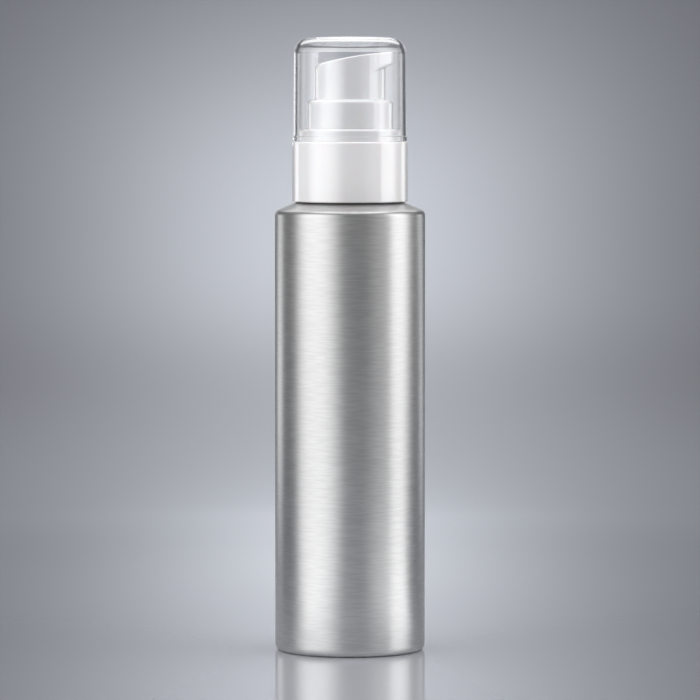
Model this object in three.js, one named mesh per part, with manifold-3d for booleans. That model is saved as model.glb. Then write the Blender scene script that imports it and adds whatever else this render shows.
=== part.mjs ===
// A lotion bottle with a hand pump: a brushed aluminium bottle, a white pump screwed onto its neck
// and a clear overcap that sits on the pump's collar. Millimetres, +Z up. The origin is the middle of
// the foot ring, on the surface that the bottle stands on, and the pump's nozzle points along +X.
import * as THREE from "three";
import { mergeVertices } from "three/addons/utils/BufferGeometryUtils.js";
import Module from "manifold-3d";

const wasm = await Module();
wasm.setup();

// Clearances, edges and facets
const FACE_GAP = 0.1;
const STOP_GAP = 0.3;
const FIT_GAP = 0.15;
const EDGE_ROUND = 0.3;
const TOOL_OVERRUN = 1;
const SHELL_SIDES = 32;
const PUMP_SIDES = 24;
const BORE_SIDES = 12;

// Bottle
const BODY_RADIUS = 20;
const WALL = 0.6;
const FLOOR = 1;
const FOOT_RING_INNER = 16.5;
const DISH_RISE = 3;
const DISH_STEPS = 4;
const FOOT_CORNER_ACROSS = 1.3;
const FOOT_CORNER_UP = 2;
const FOOT_CORNER_STEPS = 3;
const SHOULDER_HEIGHT = 117.2;
const SHOULDER_ANGLE = THREE.MathUtils.degToRad(22);
const SHOULDER_CORNER = 1.6;
const NECK_RADIUS = 10.7;
const NECK_FILLET = 0.4;
const RIM_HEIGHT = 129.5;
const RIM_BEAD = 0.7;
const RIM_STEPS = 8;

// Neck thread, eight turns to the inch
const THREAD_PITCH = 3.175;
const THREAD_TURNS = 1.25;
const THREAD_HEIGHT = 1;
const THREAD_HALF_WIDTH = 1.1;
const THREAD_RUNOUT = 0.2;
const THREAD_ROWS = 10;
const THREAD_START = -6.4;

// From here on, heights are measured from the neck rim
const GASKET_THICKNESS = 0.7;
const GASKET_INNER = 8.6;
const FLANGE_THICKNESS = 1;
const FLANGE_RADIUS = 11.3;
const FLANGE_BOTTOM = 2 * FACE_GAP + GASKET_THICKNESS;
const FLANGE_TOP = FLANGE_BOTTOM + FLANGE_THICKNESS;

// Screw closure and collar sleeve
const CLOSURE_RADIUS = 13.9;
const CLOSURE_THREAD_ROOT = 12.1;
const CLOSURE_BOTTOM = -8.9;
const CLOSURE_WEB = 1;
const CLOSURE_HOLE = 8.2;
const WEB_TOP = FLANGE_TOP + FACE_GAP + CLOSURE_WEB;
const COLLAR_RADIUS = 15.35;
const COLLAR_WALL = 1.2;
const COLLAR_BOTTOM = -10;
const COLLAR_TOP = 6.1;
const BOSS_RADIUS = 13.65;
const BOSS_OPENING = 11.8;
const BOSS_TOP = 9.5;
const BOSS_EDGE = 0.8;

// Overcap
const CAP_RADIUS = 15.05;
const CAP_DRAFT = 0.15;
const CAP_WALL = 1;
const CAP_TOP = 34;
const CAP_DOME = 0.5;
const CAP_CORNER = 4.1;
const CAP_CORNER_STEPS = 3;
const CAP_RIM_RADIUS = 15.3;
const CAP_RIM_HEIGHT = 1.35;
const CAP_RIM_EDGE = 0.15;
const CAP_GATE_RADIUS = 2.2;
const CAP_GATE_DEPTH = 0.15;

// Pump housing and chaplet
const CYLINDER_BORE = 4;
const CYLINDER_RADIUS = 5;
const SNAP_RING_INNER = 6.3;
const SNAP_RING_OUTER = 7.4;
const SNAP_RING_TOP = FLANGE_TOP + 2.5;
const SPRING_LEDGE = -19.2;
const BALL_CHAMBER = 2.2;
const BALL_RADIUS = 1.6;
const BALL_THROAT = 1.1;
const BALL_SEAT = -23.5;
const BALL_RIBS = 3;
const BALL_RIB_WIDTH = 0.8;
const BALL_RIB_HEIGHT = 0.6;
const TUBE_SHOULDER = -25.2;
const TUBE_SOCKET = 2.45;
const TUBE_SOCKET_RADIUS = 3.5;
const HOUSING_BOTTOM = -32.5;
const VENT_RADIUS = 0.5;
const VENT_HEIGHT = -1.6;
const CHAPLET_PLATE = 0.8;
const CHAPLET_PLUG_WALL = 1;
const GUIDE_BOTTOM = -0.2;
const GUIDE_RADIUS = 3.55;
const GUIDE_BORE = 2.7;

// Plunger
const STROKE = 5;
const VALVE_SHIFT = 0.8;
const STEM_RADIUS = 2.5;
const STEM_WAIST = 1.9;
const STEM_BORE = 1.3;
const STEM_TOP = 20.6;
const PORT_RADIUS = 0.55;
const PORT_RISE = 1.6;
const PISTON_TOP = GUIDE_BOTTOM - 2 * FACE_GAP;
const PISTON_HEIGHT = 4.6;
const PISTON_SLEEVE = 0.5;
const PISTON_WAIST = 3.2;
const LIP_RADIUS = 3.85;
const LIP_THICKNESS = 0.35;
const LIP_BEVEL = 0.2;
const LIP_LENGTH = 1.7;
const LIP_GROOVE = 1.2;
const VALVE_SEAT = PISTON_TOP - PISTON_HEIGHT - 2 * FACE_GAP;
const ROD_FLANGE = 3;
const ROD_FLANGE_THICKNESS = 1.4;
const ROD_CONE = 0.6;
const SHANK_RADIUS = STEM_BORE - FACE_GAP;
const SHANK_LENGTH = 7;
const SHANK_ACROSS_FLATS = 1.4;
const SPIGOT_RADIUS = 1.8;
const SPIGOT_LENGTH = 3.2;
const SPIGOT_EDGE = 0.6;
const SPRING_RADIUS = 2.6;
const WIRE_RADIUS = 0.3;
const SPRING_TURNS = 8;
const STEPS_PER_CURL = 8;

// Dip tube
const TUBE_RADIUS = 2.3;
const TUBE_BORE = 1.6;
const TUBE_END_ASIDE = 8.5;
const TUBE_END_HEIGHT = -124;
const TUBE_STRAIGHT_SHARE = 0.55;
const TUBE_BEND_SHARE = 0.75;
const TUBE_BEND_ASIDE = 1.3;
const TUBE_STEPS = 12;
const TUBE_FOOT_SLANT = THREE.MathUtils.degToRad(36);

// Press head, with heights measured from the edge of its skirt
const SKIRT_BOTTOM = WEB_TOP + STOP_GAP + STROKE;
const SKIRT_RADIUS = 11.45;
const SKIRT_HEIGHT = 8.9;
const SKIRT_EDGE = 1.2;
const HEAD_RADIUS = 9.45;
const HEAD_WALL = 1.2;
const HEAD_CEILING = 15.6;
const HEAD_BACK_CORNER = 1.5;
const TOP_HEIGHT = 21.7;
const TOP_ARC_RADIUS = 108;
const TOP_ARC_AHEAD = 7.4;
const TOP_ARC_STEPS = 6;
const SOCKET_RADIUS = 3.7;
const SOCKET_BOTTOM = 2.7;
const NOZZLE_REACH = 11.6;
const NOZZLE_TAPER = THREE.MathUtils.degToRad(40);
const NOZZLE_UNDERSIDE = 18.4;
const NOZZLE_DROOP = 0.5;
const NOZZLE_ROOT_FILLET = 0.4;
const NOZZLE_TIP_ROUND = 1;
const CHANNEL_RADIUS = 0.95;
const CHANNEL_INNER_HEIGHT = 18.3;
const CHANNEL_OUTER_HEIGHT = 20.05;

const ALUMINIUM = { color: 0xc8c9cb, roughness: 0.32, metalness: 1 };
const WHITE_PLASTIC = { color: 0xf1f2f3, roughness: 0.22, metalness: 0 };
const MILKY_PLASTIC = { color: 0xe2e5e6, roughness: 0.4, metalness: 0 };
const FOAM = { color: 0xd8d9d6, roughness: 0.8, metalness: 0 };
const STEEL = { color: 0xa9adb2, roughness: 0.2, metalness: 1 };
const CLEAR_PLASTIC = { color: 0xeef1f4, roughness: 0.05, metalness: 0, transparent: true, opacity: 0.3 };

function piece(name, geometry, finish) {
  const mesh = new THREE.Mesh(geometry, new THREE.MeshStandardMaterial(finish));
  mesh.name = name;
  return mesh;
}

// Points along part of an ellipse, as [x, y] pairs.
function arc(x, y, across, up, from, to, steps) {
  const curve = new THREE.EllipseCurve(x, y, across, up, from, to, to < from);
  return curve.getPoints(steps).map((point) => point.toArray());
}

// A closed outline through corners [x, y, radius], where a corner with a radius becomes a round arc.
function rounded(corners, steps = 2) {
  const at = ([x, y]) => new THREE.Vector2(x, y);
  return corners.flatMap((corner, i) => {
    const here = at(corner);
    const radius = corner[2] ?? 0;
    if (radius === 0) return [here];
    const back = at(corners.at(i - 1)).sub(here).normalize();
    const ahead = at(corners[(i + 1) % corners.length]).sub(here).normalize();
    const half = Math.acos(back.dot(ahead)) / 2;
    const centre = back.clone().add(ahead).setLength(radius / Math.sin(half)).add(here);
    const start = here.clone().addScaledVector(back, radius / Math.tan(half));
    const turn = Math.sign(ahead.cross(back)) * (Math.PI - 2 * half);
    const pointAt = (_, k) => start.clone().rotateAround(centre, (turn * k) / steps);
    return Array.from({ length: steps + 1 }, pointAt);
  });
}

// The solid that an outline of radii and heights sweeps round the Z axis.
function turned(outline, sides) {
  const points = THREE.ShapeUtils.area(outline) > 0 ? outline : [...outline].reverse();
  const profile = points[0].x === 0 || points.at(-1).x === 0 ? points : [...points, points[0]];
  return new THREE.LatheGeometry(profile, sides).rotateX(Math.PI / 2);
}

// A side outline in the XZ plane, carried along Y by a width, half to each side.
function carriedAcross(outline, width) {
  const slab = new THREE.ExtrudeGeometry(new THREE.Shape(outline), { depth: width, bevelEnabled: false });
  return slab.rotateX(Math.PI / 2).translate(0, width / 2, 0);
}

// A straight bar of round section between two points.
function roundBar(from, to, radius) {
  const along = to.clone().sub(from);
  const bar = new THREE.CylinderGeometry(radius, radius, along.length(), BORE_SIDES);
  const turn = new THREE.Quaternion().setFromUnitVectors(new THREE.Vector3(0, 1, 0), along.normalize());
  const middle = from.clone().lerp(to, 0.5);
  return bar.applyQuaternion(turn).translate(middle.x, middle.y, middle.z);
}

function solidOf(geometry) {
  const bare = geometry.clone();
  bare.deleteAttribute("normal");
  bare.deleteAttribute("uv");
  const merged = mergeVertices(bare);
  const vertProperties = new Float32Array(merged.attributes.position.array);
  const triVerts = new Uint32Array(merged.index.array);
  return new wasm.Manifold(new wasm.Mesh({ numProp: 3, vertProperties, triVerts }));
}

function geometryOf(solid) {
  const mesh = solid.getMesh();
  const geometry = new THREE.BufferGeometry();
  geometry.setAttribute("position", new THREE.BufferAttribute(mesh.vertProperties, 3));
  geometry.setIndex(new THREE.BufferAttribute(mesh.triVerts, 1));
  geometry.computeVertexNormals();
  return geometry;
}

function cut(body, ...tools) {
  return geometryOf(tools.reduce((left, tool) => left.subtract(solidOf(tool)), solidOf(body)));
}

function join(body, ...others) {
  return geometryOf(others.reduce((whole, other) => whole.add(solidOf(other)), solidOf(body)));
}

function common(body, other) {
  return geometryOf(solidOf(body).intersect(solidOf(other)));
}

// Height of the helical thread ridge over its root, at an angle round the neck and a height. The ridge
// has a cosine section, climbs one pitch a turn from its start, and sinks into the wall at both ends.
function ridgeHeight(angle, height, start) {
  const partTurn = THREE.MathUtils.euclideanModulo(angle, 2 * Math.PI) / (2 * Math.PI);
  let ridge = 0;
  for (let whole = 0; whole < THREAD_TURNS; whole++) {
    const along = whole + partTurn;
    const fade = THREE.MathUtils.smoothstep(Math.min(along, THREAD_TURNS - along), 0, THREAD_RUNOUT);
    const off = Math.abs(height - start - along * THREAD_PITCH) / THREAD_HALF_WIDTH;
    if (off < 1) ridge += (fade * THREAD_HEIGHT * (1 + Math.cos(Math.PI * off))) / 2;
  }
  return ridge;
}

// Moves the walls inside a radius by the thread ridge: out where way is 1, in where it is -1.
function threaded(geometry, start, way, withinRadius) {
  const points = geometry.attributes.position;
  for (let i = 0; i < points.count; i++) {
    const radius = Math.hypot(points.getX(i), points.getY(i));
    if (radius === 0 || radius > withinRadius) continue;
    const angle = Math.atan2(points.getY(i), points.getX(i));
    const grow = 1 + (way * ridgeHeight(angle, points.getZ(i), start)) / radius;
    points.setXY(i, points.getX(i) * grow, points.getY(i) * grow);
  }
  return geometry;
}

// Evenly spaced points of a straight wall that carries a thread.
function threadRows(radius, from, to) {
  return Array.from({ length: THREAD_ROWS + 1 }, (_, k) => [
    radius,
    THREE.MathUtils.lerp(from, to, k / THREAD_ROWS),
  ]);
}

// The aluminium bottle: a dished foot, a straight body, a conical shoulder, and a neck whose thread is
// rolled into the wall, so that it shows inside as well, under a curled rim.
function bottle() {
  const inside = BODY_RADIUS - WALL;
  const bore = NECK_RADIUS - WALL;
  const drop = WALL / Math.cos(SHOULDER_ANGLE);
  const shoulderAt = (radius) => SHOULDER_HEIGHT + (BODY_RADIUS - radius) * Math.tan(SHOULDER_ANGLE);
  const dishRadius = (FOOT_RING_INNER ** 2 + DISH_RISE ** 2) / (2 * DISH_RISE);
  const dishCentre = DISH_RISE - dishRadius;
  const dishEdge = Math.acos(FOOT_RING_INNER / dishRadius);
  const dishAt = (radius) => arc(0, dishCentre, radius, radius, Math.PI / 2, dishEdge, DISH_STEPS);
  const footCorner = arc(BODY_RADIUS - FOOT_CORNER_ACROSS, FOOT_CORNER_UP, FOOT_CORNER_ACROSS, FOOT_CORNER_UP,
    -Math.PI / 2, 0, FOOT_CORNER_STEPS);
  const beadCentre = (NECK_RADIUS + bore) / 2;
  const beadHeight = RIM_HEIGHT - RIM_BEAD;
  const beadStart = -Math.acos((NECK_RADIUS - beadCentre) / RIM_BEAD);
  const neckFoot = shoulderAt(NECK_RADIUS) + 2 * NECK_FILLET;
  const neckTop = beadHeight + RIM_BEAD * Math.sin(beadStart);
  const bead = arc(beadCentre, beadHeight, RIM_BEAD, RIM_BEAD, beadStart, Math.PI - beadStart, RIM_STEPS);
  const outline = rounded([
    [0, DISH_RISE],
    ...dishAt(dishRadius).slice(1),
    ...footCorner,
    [BODY_RADIUS, SHOULDER_HEIGHT, SHOULDER_CORNER],
    [NECK_RADIUS, shoulderAt(NECK_RADIUS), NECK_FILLET],
    ...threadRows(NECK_RADIUS, neckFoot, neckTop),
    ...bead.slice(1, -1),
    ...threadRows(bore, neckTop, neckFoot),
    [bore, shoulderAt(bore) - drop],
    [inside, shoulderAt(inside) - drop, SHOULDER_CORNER - WALL],
    [inside, FLOOR, FOOT_CORNER_ACROSS],
    ...dishAt(dishRadius + FLOOR).slice(1).reverse(),
    [0, DISH_RISE + FLOOR],
  ]);
  return threaded(turned(outline, SHELL_SIDES), RIM_HEIGHT + THREAD_START, 1, NECK_RADIUS + RIM_BEAD);
}

// The flat ring that seals the pump's flange on the neck rim.
function neckGasket() {
  const top = FACE_GAP + GASKET_THICKNESS;
  return turned(rounded([
    [GASKET_INNER, FACE_GAP],
    [FLANGE_RADIUS, FACE_GAP],
    [FLANGE_RADIUS, top],
    [GASKET_INNER, top],
  ]), SHELL_SIDES);
}

// The pump's cylinder: a flange for the neck, a ring that holds the chaplet, a bore for the piston, a
// ledge for the spring, ribs over the ball, a conical ball seat and a socket for the dip tube.
function pumpHousing() {
  const body = turned(rounded([
    [CYLINDER_BORE, FLANGE_TOP, EDGE_ROUND],
    [CYLINDER_BORE, SPRING_LEDGE],
    [BALL_CHAMBER, SPRING_LEDGE],
    [BALL_CHAMBER, BALL_SEAT + BALL_CHAMBER - BALL_THROAT],
    [BALL_THROAT, BALL_SEAT],
    [BALL_THROAT, TUBE_SHOULDER],
    [TUBE_SOCKET, TUBE_SHOULDER],
    [TUBE_SOCKET, HOUSING_BOTTOM],
    [TUBE_SOCKET_RADIUS, HOUSING_BOTTOM, EDGE_ROUND],
    [TUBE_SOCKET_RADIUS, BALL_SEAT],
    [CYLINDER_RADIUS, SPRING_LEDGE - FLANGE_THICKNESS],
    [CYLINDER_RADIUS, FLANGE_BOTTOM],
    [FLANGE_RADIUS, FLANGE_BOTTOM],
    [FLANGE_RADIUS, FLANGE_TOP],
    [SNAP_RING_OUTER, FLANGE_TOP],
    [SNAP_RING_OUTER, SNAP_RING_TOP, EDGE_ROUND],
    [SNAP_RING_INNER, SNAP_RING_TOP, EDGE_ROUND],
    [SNAP_RING_INNER, FLANGE_TOP],
  ]), PUMP_SIDES);
  const ribReach = BALL_CHAMBER + EDGE_ROUND - BALL_THROAT;
  const ribs = Array.from({ length: BALL_RIBS }, (_, k) => {
    const rib = new THREE.BoxGeometry(ribReach, BALL_RIB_WIDTH, BALL_RIB_HEIGHT);
    rib.translate(BALL_THROAT + ribReach / 2, 0, SPRING_LEDGE - BALL_RIB_HEIGHT / 2);
    return rib.rotateZ((k * 2 * Math.PI) / BALL_RIBS);
  });
  const ventFrom = new THREE.Vector3(0, CYLINDER_BORE - TOOL_OVERRUN, VENT_HEIGHT);
  const ventTo = new THREE.Vector3(0, CYLINDER_RADIUS + TOOL_OVERRUN, VENT_HEIGHT);
  return cut(join(body, ...ribs), roundBar(ventFrom, ventTo, VENT_RADIUS));
}

// The cap of the cylinder: a plug in the housing's ring, and a tube that guides the stem and ends the
// piston's travel.
function chaplet() {
  const plateBottom = SNAP_RING_TOP + FACE_GAP;
  const plateTop = plateBottom + CHAPLET_PLATE;
  const plugBottom = FLANGE_TOP + FACE_GAP;
  const plugRadius = SNAP_RING_INNER - FIT_GAP;
  return turned(rounded([
    [GUIDE_BORE, GUIDE_BOTTOM],
    [GUIDE_RADIUS, GUIDE_BOTTOM],
    [GUIDE_RADIUS, plateBottom],
    [plugRadius - CHAPLET_PLUG_WALL, plateBottom],
    [plugRadius - CHAPLET_PLUG_WALL, plugBottom],
    [plugRadius, plugBottom],
    [plugRadius, plateBottom],
    [SNAP_RING_OUTER, plateBottom],
    [SNAP_RING_OUTER, plateTop, EDGE_ROUND],
    [GUIDE_BORE, plateTop],
  ]), PUMP_SIDES);
}

// The soft tube from the housing down to a low corner of the bottle, cut aslant at its foot.
function dipTube() {
  const top = TUBE_SHOULDER - FACE_GAP;
  const downAt = (share) => THREE.MathUtils.lerp(top, TUBE_END_HEIGHT, share);
  const path = new THREE.CubicBezierCurve3(
    new THREE.Vector3(0, 0, top),
    new THREE.Vector3(0, 0, downAt(TUBE_STRAIGHT_SHARE)),
    new THREE.Vector3(TUBE_BEND_ASIDE, 0, downAt(TUBE_BEND_SHARE)),
    new THREE.Vector3(TUBE_END_ASIDE, 0, TUBE_END_HEIGHT),
  );
  const ring = new THREE.Shape().absarc(0, 0, TUBE_RADIUS, 0, 2 * Math.PI);
  ring.holes.push(new THREE.Path().absarc(0, 0, TUBE_BORE, 0, 2 * Math.PI, true));
  const extrusion = { steps: TUBE_STEPS, curveSegments: BORE_SIDES / 2, extrudePath: path };
  const slant = new THREE.BoxGeometry(4 * TUBE_RADIUS, 4 * TUBE_RADIUS, 2 * TUBE_RADIUS);
  slant.translate(0, 0, -TUBE_RADIUS).rotateY(TUBE_FOOT_SLANT);
  slant.translate(TUBE_END_ASIDE, 0, TUBE_END_HEIGHT + TUBE_RADIUS);
  return cut(new THREE.ExtrudeGeometry(ring, extrusion), slant);
}

// The steel ball, just over where it touches its 45 degree conical seat.
function inletBall() {
  const centre = BALL_SEAT + BALL_RADIUS * Math.SQRT2 - BALL_THROAT + FACE_GAP;
  return new THREE.SphereGeometry(BALL_RADIUS, BORE_SIDES, BORE_SIDES / 2).translate(0, 0, centre);
}

// The helix of the return spring's wire, from its foot to its head.
class SpringHelix extends THREE.Curve {
  constructor(foot, head) {
    super();
    this.foot = foot;
    this.head = head;
  }

  getPoint(share, target = new THREE.Vector3()) {
    const angle = share * SPRING_TURNS * 2 * Math.PI;
    const height = THREE.MathUtils.lerp(this.foot, this.head, share);
    return target.set(SPRING_RADIUS * Math.cos(angle), SPRING_RADIUS * Math.sin(angle), height);
  }
}

// The return spring between the housing's ledge and the flange of the piston rod.
function returnSpring() {
  const foot = SPRING_LEDGE + FACE_GAP + WIRE_RADIUS;
  const head = VALVE_SEAT - ROD_FLANGE_THICKNESS - FACE_GAP - WIRE_RADIUS;
  const wire = new THREE.Shape().absarc(0, 0, WIRE_RADIUS, 0, 2 * Math.PI);
  return new THREE.ExtrudeGeometry(wire, {
    steps: STEPS_PER_CURL * SPRING_TURNS,
    curveSegments: 3,
    extrudePath: new SpringHelix(foot, head),
  });
}

// The sliding seal: a sleeve on the stem's waist with a flared lip at each end.
function piston() {
  const foot = PISTON_TOP - PISTON_HEIGHT;
  const hole = STEM_WAIST + FIT_GAP;
  const groove = PISTON_WAIST - LIP_THICKNESS;
  return turned(rounded([
    [hole, foot],
    [hole + PISTON_SLEEVE, foot],
    [groove, foot + LIP_GROOVE],
    [LIP_RADIUS - LIP_THICKNESS, foot],
    [LIP_RADIUS, foot + LIP_BEVEL],
    [PISTON_WAIST, foot + LIP_LENGTH],
    [PISTON_WAIST, PISTON_TOP - LIP_LENGTH],
    [LIP_RADIUS, PISTON_TOP - LIP_BEVEL],
    [LIP_RADIUS - LIP_THICKNESS, PISTON_TOP],
    [groove, PISTON_TOP - LIP_GROOVE],
    [hole + PISTON_SLEEVE, PISTON_TOP],
    [hole, PISTON_TOP],
  ]), PUMP_SIDES);
}

// The tube that carries the press head: a waist for the piston under a shoulder, with two ports.
function stem() {
  const foot = VALVE_SEAT + FACE_GAP;
  const shoulder = PISTON_TOP + VALVE_SHIFT + FACE_GAP;
  const tube = turned(rounded([
    [STEM_BORE, foot],
    [STEM_WAIST, foot],
    [STEM_WAIST, shoulder],
    [STEM_RADIUS, shoulder],
    [STEM_RADIUS, STEM_TOP, EDGE_ROUND],
    [STEM_BORE, STEM_TOP],
  ]), PUMP_SIDES);
  const portFrom = new THREE.Vector3(-STEM_RADIUS, 0, foot + PORT_RISE);
  const portTo = new THREE.Vector3(STEM_RADIUS, 0, foot + PORT_RISE);
  return cut(tube, roundBar(portFrom, portTo, PORT_RADIUS));
}

// The plug under the piston: a flange that closes the piston's hole from below and takes the spring, a
// spigot that centres the spring, and a shank with two flats, pressed into the stem.
function pistonRod() {
  const flangeBottom = VALVE_SEAT - ROD_FLANGE_THICKNESS;
  const spigotBottom = flangeBottom - SPIGOT_LENGTH;
  const shankTop = VALVE_SEAT + SHANK_LENGTH;
  const round = turned(rounded([
    [0, spigotBottom],
    [SPIGOT_RADIUS, spigotBottom, SPIGOT_EDGE],
    [SPIGOT_RADIUS, flangeBottom],
    [ROD_FLANGE, flangeBottom],
    [ROD_FLANGE, VALVE_SEAT - ROD_CONE],
    [STEM_WAIST, VALVE_SEAT],
    [SHANK_RADIUS, VALVE_SEAT],
    [SHANK_RADIUS, shankTop, EDGE_ROUND],
    [0, shankTop],
  ]), PUMP_SIDES);
  const flats = [-1, 1].map((side) => {
    const waste = new THREE.BoxGeometry(SHANK_RADIUS, 2 * STEM_RADIUS, SHANK_LENGTH);
    const middle = (SHANK_ACROSS_FLATS + SHANK_RADIUS) / 2;
    return waste.translate(side * middle, 0, VALVE_SEAT + FACE_GAP + SHANK_LENGTH / 2);
  });
  return cut(round, ...flats);
}

// The threaded inner cap, whose web presses the pump's flange down onto the gasket.
function screwClosure() {
  const webBottom = WEB_TOP - CLOSURE_WEB;
  const top = COLLAR_TOP - COLLAR_WALL - FACE_GAP;
  const threadTop = CLOSURE_BOTTOM + THREAD_TURNS * THREAD_PITCH + 2 * THREAD_HALF_WIDTH;
  const body = turned(rounded([
    ...threadRows(CLOSURE_THREAD_ROOT, threadTop, CLOSURE_BOTTOM),
    [CLOSURE_RADIUS, CLOSURE_BOTTOM, EDGE_ROUND],
    [CLOSURE_RADIUS, top, EDGE_ROUND],
    [CLOSURE_THREAD_ROOT, top],
    [CLOSURE_THREAD_ROOT, WEB_TOP],
    [CLOSURE_HOLE, WEB_TOP],
    [CLOSURE_HOLE, webBottom],
    [CLOSURE_THREAD_ROOT, webBottom],
  ]), SHELL_SIDES);
  return threaded(body, THREAD_START - THREAD_PITCH / 2, -1, CLOSURE_THREAD_ROOT + FACE_GAP);
}

// The smooth white collar over the closure. Its boss centres the overcap and lets the skirt slide in,
// and its foot is cut parallel to the bottle's shoulder.
function collarSleeve() {
  const inside = COLLAR_RADIUS - COLLAR_WALL;
  const ceiling = COLLAR_TOP - COLLAR_WALL;
  const insideBottom = COLLAR_BOTTOM + COLLAR_WALL * Math.tan(SHOULDER_ANGLE);
  return turned(rounded([
    [BOSS_OPENING, ceiling],
    [BOSS_OPENING, BOSS_TOP, EDGE_ROUND],
    [BOSS_RADIUS, BOSS_TOP, BOSS_EDGE],
    [BOSS_RADIUS, COLLAR_TOP],
    [COLLAR_RADIUS, COLLAR_TOP, EDGE_ROUND],
    [COLLAR_RADIUS, COLLAR_BOTTOM, EDGE_ROUND],
    [inside, insideBottom],
    [inside, ceiling],
  ]), SHELL_SIDES);
}

// The clear overcap: a drafted cup with a slightly domed top, a round top corner, a thicker rim, and a
// gate mark on its top.
function overcap() {
  const bottom = COLLAR_TOP + FACE_GAP;
  const innerRadius = CAP_RADIUS - CAP_WALL;
  const halfway = CAP_RADIUS / 2;
  const domeAt = (radius) => CAP_TOP - CAP_DOME * (radius / CAP_RADIUS) ** 2;
  return turned(rounded([
    [0, CAP_TOP - CAP_GATE_DEPTH],
    [CAP_GATE_RADIUS - CAP_GATE_DEPTH, CAP_TOP - CAP_GATE_DEPTH],
    [CAP_GATE_RADIUS, CAP_TOP],
    [halfway, domeAt(halfway)],
    [CAP_RADIUS - CAP_DRAFT, domeAt(CAP_RADIUS), CAP_CORNER],
    [CAP_RADIUS, bottom + CAP_RIM_HEIGHT],
    [CAP_RIM_RADIUS, bottom + CAP_RIM_HEIGHT, CAP_RIM_EDGE],
    [CAP_RIM_RADIUS, bottom, CAP_RIM_EDGE],
    [innerRadius, bottom],
    [innerRadius - CAP_DRAFT, domeAt(CAP_RADIUS) - CAP_WALL, CAP_CORNER - CAP_WALL],
    [halfway, domeAt(halfway) - CAP_WALL],
    [0, CAP_TOP - CAP_WALL],
  ], CAP_CORNER_STEPS), SHELL_SIDES);
}

// The nozzle's block: a beak with a rising underside. Its sides leave the round head at a tangent and
// close in on a tip that is rounded in plan.
function nozzleBlock(stockTop) {
  const undersideAt = (x) => NOZZLE_UNDERSIDE - (NOZZLE_REACH - x) * NOZZLE_DROOP;
  const filletStart = HEAD_RADIUS + NOZZLE_ROOT_FILLET;
  const rootLow = undersideAt(HEAD_RADIUS) - NOZZLE_ROOT_FILLET;
  const rootAhead = HEAD_RADIUS * Math.sin(NOZZLE_TAPER);
  const rootAside = HEAD_RADIUS * Math.cos(NOZZLE_TAPER) - FACE_GAP;
  const tipAside = rootAside - (NOZZLE_REACH - rootAhead) * Math.tan(NOZZLE_TAPER);
  const beak = carriedAcross(rounded([
    [HEAD_RADIUS / 2, rootLow],
    [HEAD_RADIUS - EDGE_ROUND, rootLow],
    [filletStart, undersideAt(filletStart), NOZZLE_ROOT_FILLET],
    [NOZZLE_REACH, NOZZLE_UNDERSIDE, EDGE_ROUND],
    [NOZZLE_REACH, stockTop],
    [HEAD_RADIUS / 2, stockTop],
  ]), 2 * HEAD_RADIUS);
  const plan = new THREE.Shape(rounded([
    [0, -rootAside],
    [rootAhead, -rootAside],
    [NOZZLE_REACH, -tipAside, NOZZLE_TIP_ROUND],
    [NOZZLE_REACH, tipAside, NOZZLE_TIP_ROUND],
    [rootAhead, rootAside],
    [0, rootAside],
  ]));
  return common(beak, new THREE.ExtrudeGeometry(plan, { depth: stockTop, bevelEnabled: false }));
}

// All that lies above the head's top, which climbs in one arc from a rounded back to the nozzle's tip and
// would level out a little ahead of it.
function aboveHead(stockTop) {
  const centreAhead = NOZZLE_REACH + TOP_ARC_AHEAD;
  const sweepAt = (x) => Math.acos((x - centreAhead) / TOP_ARC_RADIUS);
  const centre = TOP_HEIGHT - TOP_ARC_RADIUS * Math.sin(sweepAt(NOZZLE_REACH));
  const front = NOZZLE_REACH + TOOL_OVERRUN;
  const backTop = centre + TOP_ARC_RADIUS * Math.sin(sweepAt(-HEAD_RADIUS));
  const topArc = arc(centreAhead, centre, TOP_ARC_RADIUS, TOP_ARC_RADIUS,
    sweepAt(front), sweepAt(HEAD_BACK_CORNER - HEAD_RADIUS), TOP_ARC_STEPS);
  return carriedAcross(rounded([
    ...topArc,
    [-HEAD_RADIUS, backTop, HEAD_BACK_CORNER],
    [-HEAD_RADIUS, HEAD_CEILING],
    [-front, HEAD_CEILING],
    [-front, stockTop + TOOL_OVERRUN],
    [front, stockTop + TOOL_OVERRUN],
  ]), 2 * front);
}

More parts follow.
